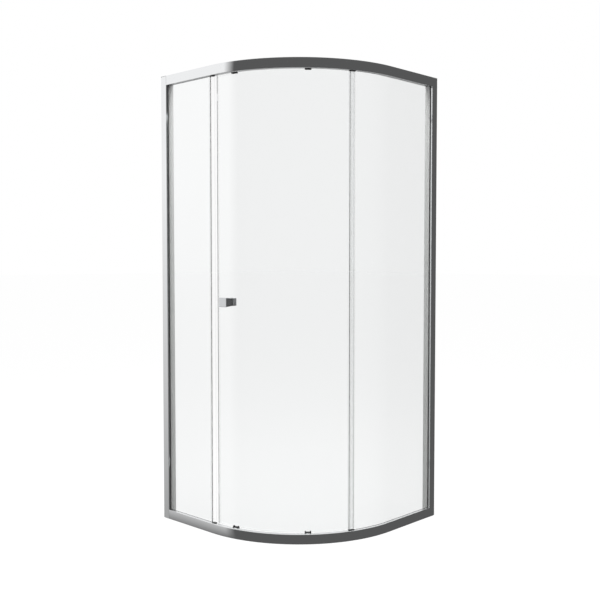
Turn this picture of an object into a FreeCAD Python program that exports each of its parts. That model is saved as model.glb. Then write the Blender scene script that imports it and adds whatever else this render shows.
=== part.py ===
import FreeCAD, Part
import math
import os
import Sketcher

# Quadrant shower enclosure: two wall uprights, a bent top and bottom rail, two fixed panes and one
# bent door that runs on four wheels around the centre of the front arc.
#
# Frame: origin at the bottom centre of the square footprint, +Z up, millimetres. The left wall is
# the plane X = -width/2, the right wall the plane Y = +width/2, and the arc faces +X and -Y.
# "Depth" is measured inward from the outer face of the frame.

SIZE_TABLE = [
    # whole enclosure
    ("overall_width", 882, "both plan sides, wall to outer face"),
    ("corner_radius", 541, "outer radius of the front arc"),
    ("total_height", 2000, "floor side of the bottom rail to the top of the frame"),
    ("frame_depth", 44, "depth of uprights and rails"),
    ("wall_thickness", 1.5, "metal thickness of the profiles"),
    ("assembly_gap", 0.3, "gap between neighbours that slide past or are set by hand"),
    ("hole_gap", 0.05, "radial gap of a pin or screw in its hole"),
    ("edge_round", 1, "rounding of the visible profile edges"),
    # uprights and wall channels
    ("upright_face", 38, "width of an upright seen from outside, with its wall channel"),
    ("channel_face", 8, "part of the wall channel that stays in view"),
    ("channel_web", 2, "thickness of the wall channel against the wall"),
    ("channel_leg", 22, "length of the wall channel legs"),
    ("pocket_floor", 24, "distance from the wall to the floor of the glass pocket"),
    ("front_return", 7, "depth of the upright in front of the gasket"),
    ("cap_thickness", 2, "plate of the cap on top of an upright"),
    ("cap_plug", 5, "length of the plug under that plate"),
    ("wall_hole_radius", 2.75, "hole for a wall screw"),
    ("wall_hole_spacing", 520, "height between neighbouring wall holes"),
    ("cover_hole_spacing", 850, "height between the screws that set the upright on its channel"),
    ("set_screw_radius", 1.75, "shank of those screws"),
    ("set_screw_from_wall", 15, "distance of those screws from the wall"),
    ("set_screw_length", 8, "length of those screws"),
    ("set_screw_head", 2, "height of their heads"),
    # rails
    ("bottom_rail_height", 41.5, "height of the bottom rail"),
    ("top_rail_height", 42, "height of the top rail"),
    ("rail_box_depth", 22, "depth of the hollow outer part of the rails"),
    ("rail_web", 25, "height of the inner web that the fixed glass stands on"),
    ("rail_flange", 4, "thickness of the flange over the door channel"),
    ("corner_screw_radius", 2.1, "shank of the screws that pull a rail to an upright"),
    ("corner_screw_level", 12.5, "height of those screws above the rail's outer edge"),
    ("corner_screw_depth", 11, "depth of those screws"),
    ("corner_screw_length", 38, "length of those screws"),
    ("corner_block_length", 30, "block in each rail end that takes the corner screw"),
    # tracks
    ("track_depth", 39, "depth of the middle of the bottom track"),
    ("track_width", 2.8, "width of the bottom track"),
    ("track_level", 12, "top of the bottom track above the floor"),
    ("ledge_edge_depth", 36, "depth of the free edge of the top ledge"),
    ("ledge_level", 33, "running face of the top ledge below the top"),
    ("ledge_thickness", 3, "thickness of the top ledge"),
    ("ledge_lip", 2, "lip that keeps the upper wheels on the ledge"),
    # glass
    ("glass_thickness", 6, "all panes"),
    ("fixed_glass_depth", 12, "outer face of the fixed panes"),
    ("door_glass_depth", 26, "outer face of the door pane"),
    ("door_edge_level", 43, "lower edge of the door pane above the floor"),
    ("door_top_level", 40.5, "upper edge of the door pane below the top"),
    ("left_pane_setback", 17, "left pane edge before the start of the arc"),
    ("right_pane_angle", -22.8, "angle of the right pane's leading edge"),
    ("door_trailing_angle", -19.8, "angle of the door pane's trailing edge"),
    # seals and clips
    ("seal_wall", 1.2, "thickness of the seal walls"),
    ("strike_width", 18, "width of the strike seal"),
    ("strike_grip", 8, "part of the strike seal that grips the pane"),
    ("magnet_reach", 17, "door seal beyond the leading edge of its pane"),
    ("magnet_grip", 9.8, "part of the door seal that grips its pane"),
    ("magnet_gap", 0.7, "gap between the strike seal and the closed door's seal"),
    ("trailing_grip", 5.4, "part of the trailing seal that grips the door pane"),
    ("trailing_reach", 2.7, "trailing seal beyond the edge of its pane"),
    ("edge_seal_grip", 9.2, "part of the edge seal that grips the right pane"),
    ("edge_seal_reach", 3.7, "edge seal beyond the edge of its pane"),
    ("seal_end_gap", 1.5, "gap between moving pieces and the ends of the seals"),
    ("clip_height", 2.5, "height of the panel clips"),
    ("clip_start", 6.5, "left panel clips begin this far beyond the edge of their pane"),
    ("clip_length", 16, "length of the left panel clips"),
    ("clip_angle", 2.8, "angle covered by the right panel clips"),
    # door travel, stops and knob
    ("door_travel_angle", 40, "angle that the door opens through"),
    ("stop_length", 8, "rubber stop along the rail"),
    ("stop_height", 20, "height of the rubber stops"),
    ("knob_angle", -81.6, "angle of the knob"),
    ("knob_level", 1002, "height of the knob"),
    ("knob_face", 40, "square front of the outer knob"),
    ("knob_root", 34, "square end of both knobs at the glass"),
    ("knob_reach", 40, "length of the outer knob"),
    ("inner_knob_reach", 26, "length of the inner knob"),
    ("knob_corner", 2.5, "rounding of the knob corners"),
    ("knob_bolt_radius", 3, "stud that joins the knobs"),
    ("knob_bolt_length", 36, "length of that stud"),
    ("knob_hole_radius", 6, "hole in the door pane"),
    ("washer_radius", 11, "washers on both sides of the pane"),
    ("washer_thickness", 1, "flange of those washers"),
    # carriages and wheels
    ("leading_carriage_angle", -77.9, "angle of the carriages near the knob"),
    ("trailing_carriage_angle", -42.2, "angle of the carriages near the fixed pane"),
    ("carriage_width", 26.5, "length of a carriage along the rail"),
    ("carriage_horn", 5, "raised end of a bottom carriage's jaw"),
    ("jaw_front_wall", 2.9, "jaw in front of the door pane"),
    ("jaw_back_wall", 3.1, "jaw behind the door pane"),
    ("horn_level", 47, "tips of the bottom jaws above the floor"),
    ("top_jaw_level", 45, "lower end of the top jaws below the top"),
    ("clamp_screw_radius", 1.2, "screws that clamp the jaw on the glass"),
    ("top_wheel_radius", 11, "upper wheel"),
    ("top_axle_radius", 3, "upper axle"),
    ("bottom_wheel_radius", 6.5, "running radius of the lower wheel"),
    ("bottom_wheel_rim", 8, "rim radius of the lower wheel"),
    ("bottom_axle_radius", 2.5, "lower axle"),
    ("slider_width", 14, "width of the spring-loaded slider"),
    ("slider_depth", 5, "thickness of that slider"),
    ("slider_gap", 0.4, "gap between the slider and the back of its carriage"),
    ("slider_foot", 11, "lower end of the slider"),
    ("slider_top", 30, "upper end of the slider"),
    ("slider_roof", 39.5, "ceiling above the spring"),
    ("spring_radius", 1.8, "centre line radius of the spring"),
    ("spring_wire", 0.3, "wire radius of the spring"),
    ("spring_turns", 4, "turns of the spring"),
]

DOCUMENT = FreeCAD.newDocument("quadrant_enclosure")
SHEET = DOCUMENT.addObject("Spreadsheet::Sheet", "Sizes")
NODES = []


class Size:
    """A number together with the sheet expression that it comes from."""

    def __init__(self, value, text):
        self.value = value
        self.text = text

    def combine(self, sign, other, swap=False):
        other = as_size(other)
        first, second = (other, self) if swap else (self, other)
        results = {
            "+": lambda: first.value + second.value,
            "-": lambda: first.value - second.value,
            "*": lambda: first.value * second.value,
            "/": lambda: first.value / second.value,
        }
        return Size(results[sign](), f"({first.text} {sign} {second.text})")

    def __add__(self, other):
        return self.combine("+", other)

    def __radd__(self, other):
        return self.combine("+", other, swap=True)

    def __sub__(self, other):
        return self.combine("-", other)

    def __rsub__(self, other):
        return self.combine("-", other, swap=True)

    def __mul__(self, other):
        return self.combine("*", other)

    def __rmul__(self, other):
        return self.combine("*", other, swap=True)

    def __truediv__(self, other):
        return self.combine("/", other)

    def __neg__(self):
        return as_size(0) - self


def as_size(number):
    if isinstance(number, Size):
        return number
    return Size(float(number), f"{number}")


def fill_sheet():
    """Write the size table into the sheet and return its sizes by name."""
    for row, (name, value, note) in enumerate(SIZE_TABLE, start=1):
        SHEET.set(f"A{row}", name)
        SHEET.set(f"B{row}", str(value))
        SHEET.setAlias(f"B{row}", name)
        SHEET.set(f"C{row}", note)
    DOCUMENT.recompute()
    return {name: Size(float(getattr(SHEET, name)), f"Sizes.{name}") for name, _, _ in SIZE_TABLE}


S = fill_sheet()

GAP = S["assembly_gap"]
HOLE_GAP = S["hole_gap"]
HEIGHT = S["total_height"]
WALL = S["wall_thickness"]
HALF_WIDTH = S["overall_width"] / 2
ARC_X = HALF_WIDTH - S["corner_radius"]
ARC_Y = S["corner_radius"] - HALF_WIDTH
STRAIGHT = HALF_WIDTH - ARC_Y
RAIL_RUN = STRAIGHT - S["upright_face"] - GAP
FIXED_INNER = S["fixed_glass_depth"] + S["glass_thickness"]
DOOR_INNER = S["door_glass_depth"] + S["glass_thickness"]
SEAL_LOW = S["bottom_rail_height"] + S["clip_height"] + GAP
SEAL_HIGH = HEIGHT - S["top_rail_height"] - S["clip_height"] - GAP
FIN_LOW = S["horn_level"] + S["seal_end_gap"]
FIN_HIGH = HEIGHT - S["top_jaw_level"] - S["seal_end_gap"]
DOOR_SEAL_LOW = S["bottom_rail_height"] + S["seal_end_gap"]
DOOR_SEAL_HIGH = HEIGHT - S["top_rail_height"] - S["seal_end_gap"]
JAW_FRONT = S["door_glass_depth"] - GAP - S["jaw_front_wall"]
JAW_BACK = DOOR_INNER + GAP + S["jaw_back_wall"]
SLIDER_BACK = JAW_BACK - S["slider_gap"]
SLIDER_FRONT = SLIDER_BACK - S["slider_depth"]


# ---------------------------------------------------------------- building helpers


def radial(depth):
    """Radius of a point that lies at this depth behind the outer face of the arc."""
    return S["corner_radius"] - depth


def level(distance, top):
    """Height of a point this far from the floor, or from the top of the frame."""
    return HEIGHT - distance if top else as_size(distance)


def rail_height(top):
    return S["top_rail_height"] if top else S["bottom_rail_height"]


def arc_angle(length, radius):
    """Angle in degrees of an arc of this length and radius."""
    return length / radius * (180 / math.pi)


def bind(thing, property_name, size):
    thing.setExpression(property_name, as_size(size).text)


def place(thing, x, y, z, turn):
    """Put a sub-part at x, y, z, turned about the vertical by an angle in degrees."""
    x, y, z, turn = (as_size(part) for part in (x, y, z, turn))
    text = f"placement(vector({x.text}; {y.text}; {z.text}); rotation(vector(0; 0; 1); {turn.text}))"
    thing.setExpression("Placement", text)


def new_body(label):
    body = DOCUMENT.addObject("PartDesign::Body", label)
    body.Label = label
    NODES.append(body)
    return body


def arc_body(label, angle=0):
    """Body whose local origin is the arc centre and whose local X points out at this angle."""
    body = new_body(label)
    place(body, ARC_X, ARC_Y, 0, angle)
    return body


def new_sketch(body, plane, lift=0):
    """Empty sketch on one of the body's own planes, raised off it along its normal."""
    sketch = body.newObject("Sketcher::SketchObject", f"{body.Label}_outline")
    origin_plane = next(item for item in body.Origin.OriginFeatures if item.Role == f"{plane}_Plane")
    sketch.AttachmentSupport = [(origin_plane, "")]
    sketch.MapMode = "FlatFace"
    bind(sketch, "AttachmentOffset.Base.z", lift)
    return sketch


def hold(sketch, kind, names, size):
    """Add one dimension and tie it to the sheet."""
    size = as_size(size)
    index = sketch.addConstraint(Sketcher.Constraint(kind, *names, size.value))
    bind(sketch, f"Constraints[{index}]", size)


def pin_point(sketch, geometry, end, point):
    hold(sketch, "DistanceX", (-1, 1, geometry, end), point[0])
    hold(sketch, "DistanceY", (-1, 1, geometry, end), point[1])


def vector_of(point):
    return FreeCAD.Vector(point[0].value, point[1].value, 0)


def toward(start, end):
    """Signs of the axis direction from one corner to the next; edges at a rounding are square."""
    steps = [end[axis].value - start[axis].value for axis in (0, 1)]
    return [0 if abs(step) < 1e-6 else math.copysign(1, step) for step in steps]


def corner_ends(before, corner, after):
    """Points where the rounding of a corner starts and ends."""
    radius = corner[2]
    ends = []
    for neighbour in (before, after):
        signs = toward(corner, neighbour)
        ends.append([corner[axis] + radius * signs[axis] for axis in (0, 1)])
    return ends


def draw_loop(sketch, corners):
    """Closed outline through (across, up) or (across, up, rounding) corners."""
    corners = [[as_size(part) for part in corner] for corner in corners]
    count = len(corners)
    spans = []
    for index, corner in enumerate(corners):
        if len(corner) == 3:
            spans.append(corner_ends(corners[index - 1], corner, corners[(index + 1) % count]))
        else:
            spans.append([corner, corner])
    lines = []
    for index in range(count):
        start = spans[index][1]
        end = spans[(index + 1) % count][0]
        line = sketch.addGeometry(Part.LineSegment(vector_of(start), vector_of(end)))
        pin_point(sketch, line, 1, start)
        lines.append(line)
    for index, corner in enumerate(corners):
        incoming, outgoing = lines[index - 1], lines[index]
        if len(corner) == 2:
            sketch.addConstraint(Sketcher.Constraint("Coincident", incoming, 2, outgoing, 1))
        else:
            pin_point(sketch, incoming, 2, spans[index][0])
            draw_rounding(sketch, spans[index], corner, incoming, outgoing)


def draw_rounding(sketch, ends, corner, incoming, outgoing):
    """Quarter arc between two lines that already end at its ends, drawn counterclockwise."""
    start, end, tip = vector_of(ends[0]), vector_of(ends[1]), vector_of(corner)
    centre = start + end - tip
    middle = centre + (tip - centre).normalize() * corner[2].value
    left_turn = (start - centre).cross(end - centre).z > 0
    first, last = (start, end) if left_turn else (end, start)
    near, far = (1, 2) if left_turn else (2, 1)
    arc = sketch.addGeometry(Part.Arc(first, middle, last))
    sketch.addConstraint(Sketcher.Constraint("Coincident", incoming, 2, arc, near))
    sketch.addConstraint(Sketcher.Constraint("Coincident", outgoing, 1, arc, far))
    hold(sketch, "Radius", (arc,), corner[2])


def draw_circle(sketch, across, up, radius):
    across, up, radius = (as_size(part) for part in (across, up, radius))
    shape = Part.Circle(vector_of((across, up)), FreeCAD.Vector(0, 0, 1), radius.value)
    circle = sketch.addGeometry(shape)
    pin_point(sketch, circle, 3, (across, up))
    hold(sketch, "Radius", (circle,), radius)


def rectangle(low_x, low_y, high_x, high_y, rounding=None):
    """Corners of an upright rectangle, with all four rounded when a rounding is given."""
    extra = () if rounding is None else (rounding,)
    corners = [(low_x, low_y), (high_x, low_y), (high_x, high_y), (low_x, high_y)]
    return [corner + extra for corner in corners]


def outline(body, plane, loops, lift=0):
    sketch = new_sketch(body, plane, lift)
    for loop in loops:
        draw_loop(sketch, loop)
    return sketch


def feature(body, kind, sketch):
    made = body.newObject(f"PartDesign::{kind}", f"{body.Label}_{kind.lower()}")
    made.Profile = sketch
    sketch.Visibility = False
    return made


def pad(body, sketch, length, backward=False, both=False):
    made = feature(body, "Pad", sketch)
    made.Reversed = backward
    if both:
        made.SideType = "Symmetric"
    bind(made, "Length", length)
    return made


def cut(body, sketch, length, one_sided=False):
    """Pocket of this length, centred on the sketch or, one-sided, against the sketch's normal."""
    made = feature(body, "Pocket", sketch)
    if not one_sided:
        made.SideType = "Symmetric"
    bind(made, "Length", length)
    return made


def sweep(body, sketch, ahead, behind=0, kind="Revolution"):
    """Turn a radial outline about the arc's axis, from the sketch ahead and behind it."""
    made = feature(body, kind, sketch)
    made.ReferenceAxis = (sketch, ["V_Axis"])
    made.Type = "TwoAngles"
    bind(made, "Angle", ahead)
    bind(made, "Angle2", behind)
    return made


def spin(body, sketch):
    """Turn an outline fully about the sketch's horizontal axis."""
    made = feature(body, "Revolution", sketch)
    made.ReferenceAxis = (sketch, ["H_Axis"])
    made.Angle = 360
    return made


def group(label, solids):
    """One sub-part that holds several separate solids of the same kind."""
    shape = Part.makeCompound(solids)
    thing = DOCUMENT.addObject("Part::Feature", label)
    thing.Label = label
    thing.Shape = shape
    NODES.append(thing)
    return thing


def rod(start, direction, length, radius):
    return Part.makeCylinder(radius.value, as_size(length).value, start, direction)


# ---------------------------------------------------------------- uprights and wall channels


def wall_side_body(label, side):
    """Body with local X away from the wall; local Y is depth on the left, minus depth on the right."""
    body = new_body(label)
    if side == "left":
        place(body, -HALF_WIDTH, -HALF_WIDTH, 0, 0)
    else:
        place(body, HALF_WIDTH, HALF_WIDTH, 0, -90)
    return body


def mirrored(points, side):
    """Plan points (from wall, depth) in the local axes of that side's body."""
    sign = 1 if side == "left" else -1
    return [(point[0], as_size(point[1]) * sign, *point[2:]) for point in points]


def plan_strip(label, side, points, low, high, hollow=None):
    """Vertical strip of a constant plan outline between two heights."""
    body = wall_side_body(label, side)
    loops = [mirrored(points, side)]
    if hollow:
        loops.append(mirrored(hollow, side))
    pad(body, outline(body, "XY", loops, lift=low), as_size(high) - low)
    return body


def make_wall_channel(side):
    front = WALL + GAP
    back = S["frame_depth"] - WALL - GAP
    points = [
        (0, front),
        (S["channel_leg"], front),
        (S["channel_leg"], front + WALL),
        (S["channel_web"], front + WALL),
        (S["channel_web"], back - WALL),
        (S["channel_leg"], back - WALL),
        (S["channel_leg"], back),
        (0, back),
    ]
    body = plan_strip(f"wall_channel_{side}", side, points, 0, HEIGHT - S["cap_thickness"] - 0.5)
    sign = 1 if side == "left" else -1
    holes = new_sketch(body, "YZ")
    for step in (-1.5, -0.5, 0.5, 1.5):
        draw_circle(holes, S["frame_depth"] / 2 * sign, HEIGHT / 2 + S["wall_hole_spacing"] * step,
                    S["wall_hole_radius"])
    cut(body, holes, S["channel_web"] * 3)
    screws = new_sketch(body, "XZ")
    for step in (-1, 0, 1):
        draw_circle(screws, S["set_screw_from_wall"], HEIGHT / 2 + S["cover_hole_spacing"] * step,
                    S["set_screw_radius"] + HOLE_GAP)
    bind(screws, "AttachmentOffset.Base.z", (back - WALL / 2) * -sign)
    cut(body, screws, WALL * 4)


def make_upright(side):
    face = S["upright_face"]
    depth = S["frame_depth"]
    floor = S["pocket_floor"]
    back_of_return = S["front_return"]
    points = [
        (S["channel_face"], 0),
        (face, 0, S["edge_round"]),
        (face, back_of_return),
        (floor, back_of_return),
        (floor, depth),
        (S["channel_face"], depth),
        (S["channel_face"], depth - WALL),
        (floor - WALL, depth - WALL),
        (floor - WALL, back_of_return - WALL),
        (face - WALL, back_of_return - WALL),
        (face - WALL, WALL),
        (S["channel_face"], WALL),
    ]
    body = plan_strip(f"upright_{side}", side, points, 0, HEIGHT - S["cap_thickness"])
    sign = 1 if side == "left" else -1
    corners = new_sketch(body, "YZ")
    for top in (False, True):
        draw_circle(corners, S["corner_screw_depth"] * sign, level(S["corner_screw_level"], top),
                    S["corner_screw_radius"] + HOLE_GAP)
    bind(corners, "AttachmentOffset.Base.z", floor - WALL / 2)
    cut(body, corners, WALL * 2)
    screws = new_sketch(body, "XZ")
    for step in (-1, 0, 1):
        draw_circle(screws, S["set_screw_from_wall"], HEIGHT / 2 + S["cover_hole_spacing"] * step,
                    S["set_screw_radius"] + HOLE_GAP)
    bind(screws, "AttachmentOffset.Base.z", (depth - WALL / 2) * -sign)
    cut(body, screws, WALL * 2)


def make_glazing_bead(side):
    low = (S["pocket_floor"] + GAP, FIXED_INNER + GAP)
    high = (S["upright_face"], S["frame_depth"])
    thin = S["seal_wall"]
    plan_strip(
        f"glazing_bead_{side}", side,
        rectangle(*low, *high, 0.8),
        0, HEIGHT - S["cap_thickness"],
        hollow=rectangle(low[0] + thin, low[1] + thin, high[0] - thin, high[1] - thin),
    )


def make_glazing_gasket(side):
    near = S["pocket_floor"] + 2
    far = S["upright_face"] - 0.2
    points = rectangle(near, S["front_return"], far, S["fixed_glass_depth"])
    plan_strip(f"glazing_gasket_{side}", side, points, rail_height(False), HEIGHT - rail_height(True))


def make_upright_cap(side):
    depth = S["frame_depth"]
    base = HEIGHT - S["cap_thickness"]
    plate = rectangle(0, 0, S["upright_face"], depth, S["edge_round"])
    body = plan_strip(f"upright_cap_{side}", side, plate, base, HEIGHT)
    inset = WALL * 2 + GAP * 2 + 0.2
    plug = rectangle(S["channel_face"] + 1, inset, S["pocket_floor"] - WALL - 0.4, depth - inset)
    pad(body, outline(body, "XY", [mirrored(plug, side)], lift=base), S["cap_plug"], backward=True)


def side_point(side, from_wall, depth, height):
    """World point given by its distance from the wall, its depth and its height."""
    from_wall, depth, height = (as_size(part) for part in (from_wall, depth, height))
    if side == "left":
        x = from_wall - HALF_WIDTH
        y = depth - HALF_WIDTH
    else:
        x = HALF_WIDTH - depth
        y = HALF_WIDTH - from_wall
    return FreeCAD.Vector(x.value, y.value, height.value)


def side_axes(side):
    """World directions away from the wall and inward."""
    if side == "left":
        return FreeCAD.Vector(1, 0, 0), FreeCAD.Vector(0, 1, 0)
    return FreeCAD.Vector(0, -1, 0), FreeCAD.Vector(-1, 0, 0)


def make_channel_screws(side):
    """Screws that set the upright on its wall channel, and the covers over their heads."""
    _, inward = side_axes(side)
    depth = S["frame_depth"]
    screws = []
    covers = []
    for step in (-1, 0, 1):
        height = HEIGHT / 2 + S["cover_hole_spacing"] * step
        tip = side_point(side, S["set_screw_from_wall"], depth - S["set_screw_length"], height)
        head = side_point(side, S["set_screw_from_wall"], depth, height)
        shank = rod(tip, inward, S["set_screw_length"], S["set_screw_radius"])
        top = rod(head, inward, S["set_screw_head"], S["set_screw_radius"] * 2)
        screws.append(shank.fuse(top).removeSplitter())
        cover = rod(head, inward, S["set_screw_head"] + 1.2, S["set_screw_radius"] * 3)
        hollow = rod(head, inward, S["set_screw_head"], S["set_screw_radius"] * 2 + HOLE_GAP)
        covers.append(cover.cut(hollow))
    group(f"channel_screws_{side}", screws)
    group(f"screw_covers_{side}", covers)


def make_corner_fixings():
    """Block in each rail end and the screw that pulls it against the upright."""
    screws = []
    blocks = []
    web = S["rail_web"] - WALL
    for side in ("left", "right"):
        along, _ = side_axes(side)
        for top in (False, True):
            height = level(S["corner_screw_level"], top)
            seat = side_point(side, S["pocket_floor"] - WALL, S["corner_screw_depth"], height)
            shank = rod(seat, along, S["corner_screw_length"], S["corner_screw_radius"])
            head = rod(seat - along * 2.4, along, 2.4, S["corner_screw_radius"] * 2)
            screws.append(shank.fuse(head).removeSplitter())
            ends = (level(WALL + HOLE_GAP, top), level(web - HOLE_GAP, top))
            near = side_point(side, S["upright_face"] + GAP, WALL + HOLE_GAP, ends[0])
            far = side_point(side, S["upright_face"] + GAP + S["corner_block_length"],
                             S["rail_box_depth"] - WALL - HOLE_GAP, ends[1])
            low = FreeCAD.Vector(min(near.x, far.x), min(near.y, far.y), min(near.z, far.z))
            size = [abs(far[axis] - near[axis]) for axis in range(3)]
            block = Part.makeBox(*size, low)
            bore = rod(seat, along, S["corner_screw_length"] * 2, S["corner_screw_radius"] + HOLE_GAP)
            blocks.append(block.cut(bore))
    group("corner_screws", screws)
    group("corner_blocks", blocks)


# ---------------------------------------------------------------- rails


def rail_outline(top):
    """Outer outline of a rail in (radius, height), drawn for the floor and mirrored for the top."""
    box = S["rail_box_depth"]
    depth = S["frame_depth"]
    flange = S["rail_flange"]
    round_edge = S["edge_round"]
    points = [(0, 0, round_edge)]
    if top:
        ledge_top = S["ledge_level"]
        ledge_under = ledge_top + S["ledge_thickness"]
        ledge_edge = S["ledge_edge_depth"]
        lip = ledge_edge + 1.2
        points += [
            (depth, 0, round_edge),
            (depth, ledge_under),
            (ledge_edge, ledge_under),
            (ledge_edge, ledge_top - S["ledge_lip"]),
            (lip, ledge_top - S["ledge_lip"]),
            (lip, ledge_top),
            (depth - WALL, ledge_top),
            (depth - WALL, flange),
        ]
    else:
        near = S["track_depth"] - S["track_width"] / 2
        far = S["track_depth"] + S["track_width"] / 2
        points += [
            (depth, 0, round_edge),
            (depth, flange),
            (far, flange),
            (far, S["track_level"]),
            (near, S["track_level"]),
            (near, flange),
        ]
    points += [
        (box, flange),
        (box, rail_height(top), 0.6),
        (0, rail_height(top), round_edge),
    ]
    return points


def rail_loops(top, spread):
    """Outline and the two chambers; spread turns a depth into the sketch's across value."""
    inner = S["rail_box_depth"] - WALL
    chambers = [
        rectangle(WALL, WALL, inner, S["rail_web"] - WALL),
        rectangle(WALL, S["rail_web"], inner, rail_height(top) - WALL),
    ]
    loops = [rail_outline(top)] + chambers
    return [[(spread(point[0]), level(point[1], top), *point[2:]) for point in loop] for loop in loops]


def glass_slot(top, spread):
    """Slot through the rail's inner wall that lets the fixed glass down onto the web."""
    low = S["fixed_glass_depth"] - GAP
    high = FIXED_INNER + GAP
    corners = rectangle(low, rail_height(top) - WALL - 1, high, rail_height(top) + 1)
    return [[(spread(point[0]), level(point[1], top)) for point in corners]]


def left_across(depth):
    """Across value of a depth on the left straight, where local -Y points out."""
    return -radial(depth)


def make_rail(label, top):
    body = arc_body(label)
    sweep(body, outline(body, "XZ", rail_loops(top, radial)), 0, 90)
    pad(body, outline(body, "XZ", rail_loops(top, radial)), RAIL_RUN, backward=True)
    pad(body, outline(body, "YZ", rail_loops(top, left_across)), RAIL_RUN, backward=True)
    sweep(body, outline(body, "XZ", glass_slot(top, radial)), 0, -S["right_pane_angle"], "Groove")
    cut(body, outline(body, "XZ", glass_slot(top, radial)), STRAIGHT, one_sided=True)
    left_middle = -(S["left_pane_setback"] + STRAIGHT) / 2
    left_slot = outline(body, "YZ", glass_slot(top, left_across), lift=left_middle)
    cut(body, left_slot, STRAIGHT - S["left_pane_setback"])


# ---------------------------------------------------------------- fixed glass and its seals


def make_left_pane():
    low = S["rail_web"]
    edge = STRAIGHT - S["left_pane_setback"]
    points = rectangle(S["pocket_floor"] + 2, S["fixed_glass_depth"], edge, FIXED_INNER)
    plan_strip("fixed_glass_left", "left", points, low, HEIGHT - low - 2)


def make_right_pane():
    low = S["rail_web"]
    body = arc_body("fixed_glass_right")
    corners = rectangle(radial(FIXED_INNER), low, radial(S["fixed_glass_depth"]), HEIGHT - low - 2)
    sweep(body, outline(body, "XZ", [corners]), 0, -S["right_pane_angle"])
    pad(body, outline(body, "XZ", [corners]), STRAIGHT - S["pocket_floor"] - 2, backward=True)


def make_strike_seal():
    """Seal on the left pane's free edge that carries the magnet the door closes on."""
    thin = S["seal_wall"]
    edge = STRAIGHT - S["left_pane_setback"]
    start = edge - S["strike_grip"]
    end = start + S["strike_width"]
    front = S["fixed_glass_depth"] - thin
    back = FIXED_INNER + thin
    points = [
        (start, front),
        (end, front),
        (end, DOOR_INNER + 1),
        (edge + 2, DOOR_INNER + 1),
        (edge + 2, back),
        (start, back),
        (start, FIXED_INNER),
        (edge, FIXED_INNER),
        (edge, S["fixed_glass_depth"]),
        (start, S["fixed_glass_depth"]),
    ]
    plan_strip("strike_seal", "left", points, SEAL_LOW, SEAL_HIGH)


def make_edge_seal():
    """Seal on the right pane's leading edge; the jaws of the door's carriages pass its fin's ends."""
    thin = S["seal_wall"]
    body = arc_body("edge_seal", S["right_pane_angle"])
    outer = radial(S["fixed_glass_depth"] - GAP)
    inner = radial(FIXED_INNER + GAP)
    reach = -S["edge_seal_reach"]
    points = [
        (outer + thin, reach),
        (outer + thin, S["edge_seal_grip"]),
        (outer, S["edge_seal_grip"]),
        (outer, -0.05),
        (inner, -0.05),
        (inner, S["edge_seal_grip"]),
        (inner - thin, S["edge_seal_grip"]),
        (inner - thin, reach),
    ]
    pad(body, outline(body, "XY", [points], lift=SEAL_LOW), SEAL_HIGH - SEAL_LOW)
    fin = rectangle(radial(S["door_glass_depth"] - 1), reach, inner, reach + thin)
    pad(body, outline(body, "XY", [fin], lift=FIN_LOW), FIN_HIGH - FIN_LOW)


def make_panel_clips():
    """Thin blocks at the free edges of the fixed panes, on the bottom rail and under the top rail."""
    tall = S["clip_height"]
    near = S["fixed_glass_depth"] - 2
    far = S["rail_box_depth"] - 0.5
    for low, word in ((rail_height(False), "bottom"), (HEIGHT - rail_height(True) - tall, "top")):
        start = STRAIGHT - S["left_pane_setback"] + S["clip_start"]
        points = rectangle(start, near, start + S["clip_length"], far)
        plan_strip(f"panel_clip_left_{word}", "left", points, low, low + tall)
        body = arc_body(f"panel_clip_right_{word}", S["right_pane_angle"])
        front = rectangle(radial(far), low, radial(near), low + tall)
        sweep(body, outline(body, "XZ", [front]), S["clip_angle"] - 0.2, 0.2)
        slot_near = radial(S["fixed_glass_depth"] - GAP)
        slot_far = radial(FIXED_INNER + GAP)
        slot = rectangle(slot_far, low - 1, slot_near, low + tall + 1)
        sweep(body, outline(body, "XZ", [slot]), S["clip_angle"], 0, "Groove")


# ---------------------------------------------------------------- door glass, seals and knob


def leading_angle():
    """Angle of the door pane's leading edge, where its seal stands just off the strike seal."""
    strike_end = S["strike_width"] - S["strike_grip"] - S["left_pane_setback"]
    setback = strike_end + S["magnet_gap"] + S["magnet_reach"]
    return arc_angle(setback, radial(S["door_glass_depth"] + S["glass_thickness"] / 2)) - 90


def make_door_glass():
    body = arc_body("door_glass", S["knob_angle"])
    low = S["door_edge_level"]
    high = HEIGHT - S["door_top_level"]
    corners = rectangle(radial(DOOR_INNER), low, radial(S["door_glass_depth"]), high)
    ahead = S["door_trailing_angle"] - S["knob_angle"]
    behind = S["knob_angle"] - leading_angle()
    sweep(body, outline(body, "XZ", [corners]), ahead, behind)
    hole = new_sketch(body, "YZ", lift=radial(S["door_glass_depth"] + S["glass_thickness"] / 2))
    draw_circle(hole, 0, S["knob_level"], S["knob_hole_radius"])
    cut(body, hole, S["glass_thickness"] * 3)


def make_magnetic_seal():
    """Seal on the door's leading edge that meets the strike seal."""
    thin = S["seal_wall"]
    body = arc_body("door_magnetic_seal", leading_angle())
    outer = radial(S["door_glass_depth"] - GAP)
    inner = radial(DOOR_INNER + GAP)
    points = [
        (inner - thin, -S["magnet_reach"]),
        (outer + thin, -S["magnet_reach"]),
        (outer + thin, S["magnet_grip"]),
        (outer, S["magnet_grip"]),
        (outer, -0.05),
        (inner, -0.05),
        (inner, S["magnet_grip"]),
        (inner - thin, S["magnet_grip"]),
    ]
    pad(body, outline(body, "XY", [points], lift=DOOR_SEAL_LOW), DOOR_SEAL_HIGH - DOOR_SEAL_LOW)


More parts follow.
